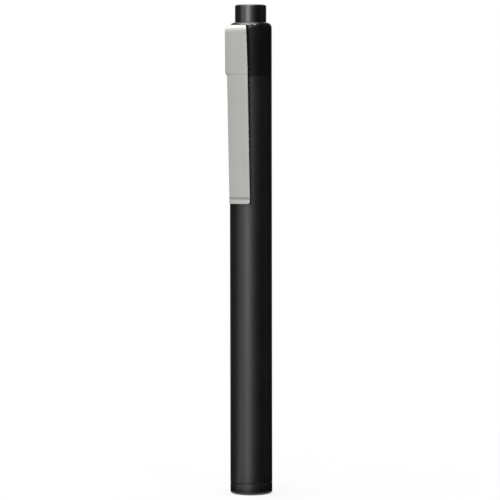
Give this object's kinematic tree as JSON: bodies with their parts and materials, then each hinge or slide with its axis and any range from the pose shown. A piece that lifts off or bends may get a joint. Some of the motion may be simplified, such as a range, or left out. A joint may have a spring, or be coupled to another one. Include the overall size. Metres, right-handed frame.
{
  "type": "penlight",
  "caption": "Slim round penlight with a push button in the screw-on tail cap, a sprung pocket clip, cells in a tube barrel and a lens, reflector and light source at the other end.",
  "frame": {"origin": "centre of the flat ring round the lens opening", "axes": "+Z along the barrel from the lens end to the push button, -Y towards the pocket clip, +X to the right seen from the clip's side"},
  "size_m": [0.013, 0.0163, 0.1508],
  "materials": {
    "barrel_black": "matte black anodised",
    "bezel_black": "matte black anodised",
    "cap_black": "satin black anodised",
    "collar_black": "gloss black",
    "button_black": "gloss black",
    "clip_steel": "satin, brushed along its length",
    "spring_steel": "drawn wire and strip",
    "seal_rubber": "matte",
    "lens_clear": "clear, polished",
    "reflector_bright": "bright metallised",
    "led_dome_yellow": "clear resin over phosphor",
    "led_white": "white ceramic",
    "led_board_white": "white solder mask",
    "lead_red": "insulated wire",
    "contact_brass": "turned",
    "board_green": "solder mask",
    "component_dark": "moulded",
    "switch_ivory": "moulded",
    "cell_nickel": "bright nickel",
    "cell_sleeve": "plain shrink sleeve"
  },
  "bodies": {
    "light_body": {"barrel": "barrel_black", "bezel_ring": "bezel_black", "bezel_seal": "seal_rubber", "lens_seal": "seal_rubber", "lens": "lens_clear", "reflector": "reflector_bright", "led_dome": "led_dome_yellow", "led_package": "led_white", "led_board": "led_board_white", "led_leads": "lead_red", "heat_sink": "contact_brass", "driver_board": "board_green", "driver_parts": "component_dark", "contact_insulator": "switch_ivory", "positive_contact": "contact_brass", "lower_cell_cap": "cell_nickel", "lower_cell_seal": "component_dark", "lower_cell_can": "cell_nickel", "lower_cell_jacket": "cell_sleeve", "upper_cell_cap": "cell_nickel", "upper_cell_seal": "component_dark", "upper_cell_can": "cell_nickel", "upper_cell_jacket": "cell_sleeve"},
    "cap_seal": {"cap_seal_ring": "seal_rubber"},
    "tail": {"tail_cap": "cap_black", "tail_collar": "collar_black", "clip_root": "clip_steel", "button_seal": "seal_rubber", "switch_case": "switch_ivory", "switch_base": "switch_ivory", "spring_seat": "switch_ivory", "side_terminal": "contact_brass", "centre_terminal": "contact_brass", "switch_spring": "spring_steel", "holding_ring": "contact_brass", "battery_spring": "spring_steel"},
    "button": {"push_button": "button_black", "button_retainer": "spring_steel", "switch_plunger": "switch_ivory", "contact_disc": "contact_brass"},
    "clip": {"clip_arm": "clip_steel"}
  },
  "joints": [
    {"name": "cap_lift", "type": "slide", "parent": "light_body", "child": "cap_seal", "axis": [0, 0, 1], "range_m": [0, 0.006]},
    {"name": "cap_turn", "type": "hinge", "parent": "cap_seal", "child": "tail", "pos_m": [0, 0, 0.1276], "axis": [0, 0, 1], "range_deg": [0, 2881]},
    {"name": "button_press", "type": "slide", "parent": "tail", "child": "button", "axis": [0, 0, -1], "range_m": [0, 0.0018], "stiffness_N_per_m": 1500, "springref_m": -0.0008, "deforming": ["switch_spring"]},
    {"name": "clip_flex", "type": "hinge", "parent": "tail", "child": "clip", "pos_m": [0, -0.0098, 0.1428], "axis": [-1, 0, 0], "range_deg": [0, 4], "stiffness_Nm_per_rad": 2, "springref_deg": -1.15}
  ],
  "couplings": [
    {"joint": "cap_turn", "follows": "cap_lift", "rad_per_m": 8377.6}
  ]
}
